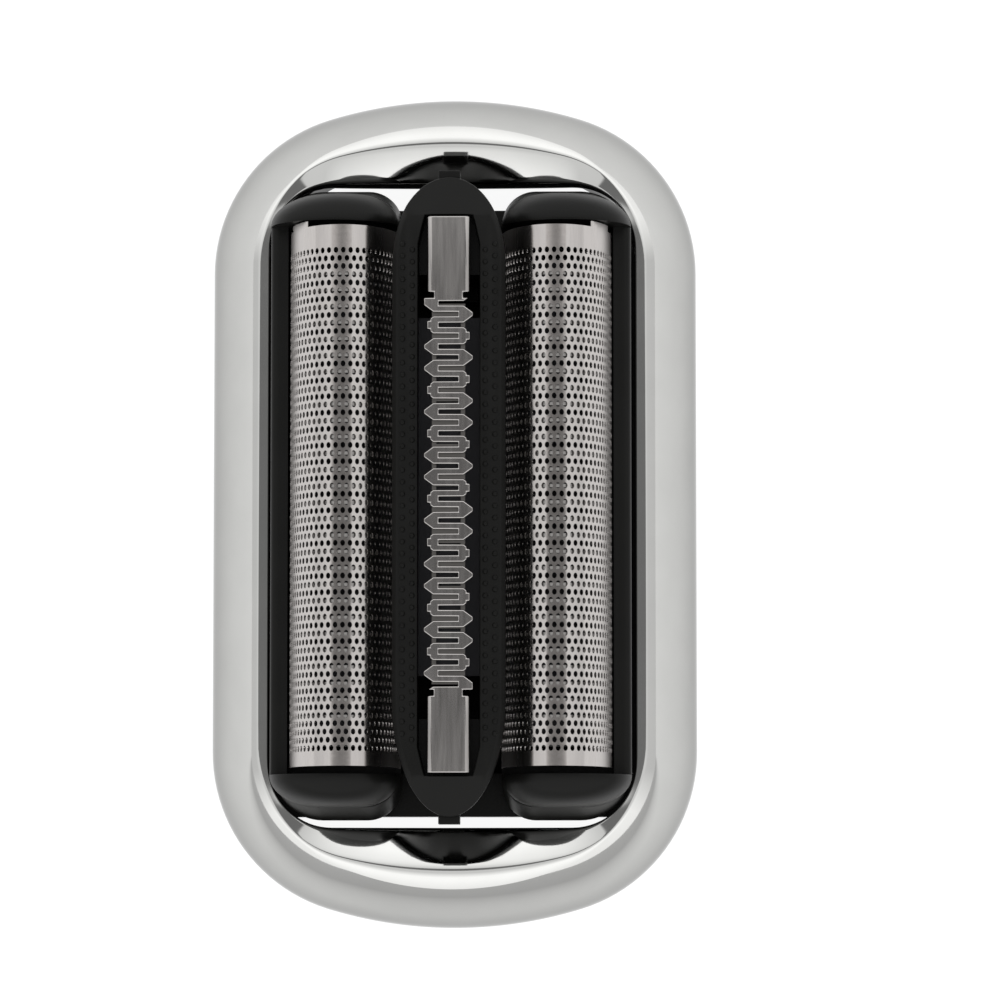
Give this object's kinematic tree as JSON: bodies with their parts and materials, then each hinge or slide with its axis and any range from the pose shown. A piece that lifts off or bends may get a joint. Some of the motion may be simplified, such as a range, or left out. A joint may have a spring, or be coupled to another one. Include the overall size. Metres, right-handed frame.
{
  "type": "shaver foil head",
  "caption": "Clip-on electric shaver head: chrome ring round arched perforated foils, a slotted centre trimmer, sprung cutters and a drive bridge with its socket.",
  "frame": {"origin": "middle of the head on the plane of the ring's foot rim", "axes": "+X across the foils, +Y along the foils, +Z out of the head towards the skin"},
  "size_m": [0.035, 0.06, 0.0253],
  "materials": {
    "chrome": "bright plated moulding",
    "black_plastic": "satin moulded",
    "drive_plastic": "plain moulded",
    "foil_nickel": "electroformed nickel",
    "blade_steel": "stamped and ground",
    "spring_steel": "drawn wire"
  },
  "bodies": {
    "cassette": {"outer_ring": "chrome", "chassis": "black_plastic", "base_frame": "black_plastic", "trimmer_spring_front": "spring_steel", "trimmer_spring_rear": "spring_steel"},
    "left_foil_unit": {"left_foil_frame": "black_plastic", "left_foil": "foil_nickel"},
    "right_foil_unit": {"right_foil_frame": "black_plastic", "right_foil": "foil_nickel"},
    "trimmer_unit": {"trimmer_housing": "black_plastic", "trimmer_cover": "black_plastic", "trimmer_comb": "blade_steel"},
    "trimmer_cutter": {"trimmer_blade": "blade_steel", "trimmer_slider": "drive_plastic"},
    "drive": {"drive_bridge": "drive_plastic", "left_cutter_spring_front": "spring_steel", "left_cutter_spring_rear": "spring_steel", "right_cutter_spring_front": "spring_steel", "right_cutter_spring_rear": "spring_steel"},
    "left_cutter": {"left_cutter_carrier": "drive_plastic", "left_cutter_blades": "blade_steel"},
    "right_cutter": {"right_cutter_carrier": "drive_plastic", "right_cutter_blades": "blade_steel"}
  },
  "joints": [
    {"name": "left_foil_float", "type": "slide", "parent": "cassette", "child": "left_foil_unit", "axis": [0, 0, -1], "range_m": [0, 0.0015], "stiffness_N_per_m": 300, "springref_m": -0.002},
    {"name": "right_foil_float", "type": "slide", "parent": "cassette", "child": "right_foil_unit", "axis": [0, 0, -1], "range_m": [0, 0.0015], "stiffness_N_per_m": 300, "springref_m": -0.002},
    {"name": "trimmer_float", "type": "slide", "parent": "cassette", "child": "trimmer_unit", "axis": [0, 0, -1], "range_m": [0, 0.0015], "stiffness_N_per_m": 300, "springref_m": -0.002, "deforming": ["trimmer_spring_front", "trimmer_spring_rear"]},
    {"name": "drive_stroke", "type": "slide", "parent": "cassette", "child": "drive", "axis": [0, 1, 0], "range_m": [-0.001, 0.001]},
    {"name": "left_cutter_float", "type": "slide", "parent": "drive", "child": "left_cutter", "axis": [0, 0, -1], "range_m": [0, 0.0015], "deforming": ["left_cutter_spring_front", "left_cutter_spring_rear"]},
    {"name": "right_cutter_float", "type": "slide", "parent": "drive", "child": "right_cutter", "axis": [0, 0, -1], "range_m": [0, 0.0015], "deforming": ["right_cutter_spring_front", "right_cutter_spring_rear"]},
    {"name": "trimmer_cutter_stroke", "type": "slide", "parent": "trimmer_unit", "child": "trimmer_cutter", "axis": [0, 1, 0], "range_m": [-0.001, 0.001]}
  ],
  "couplings": [
    {"joint": "left_cutter_float", "follows": "left_foil_float", "ratio": 1},
    {"joint": "right_cutter_float", "follows": "right_foil_float", "ratio": 1},
    {"joint": "trimmer_cutter_stroke", "follows": "drive_stroke", "ratio": 1}
  ]
}
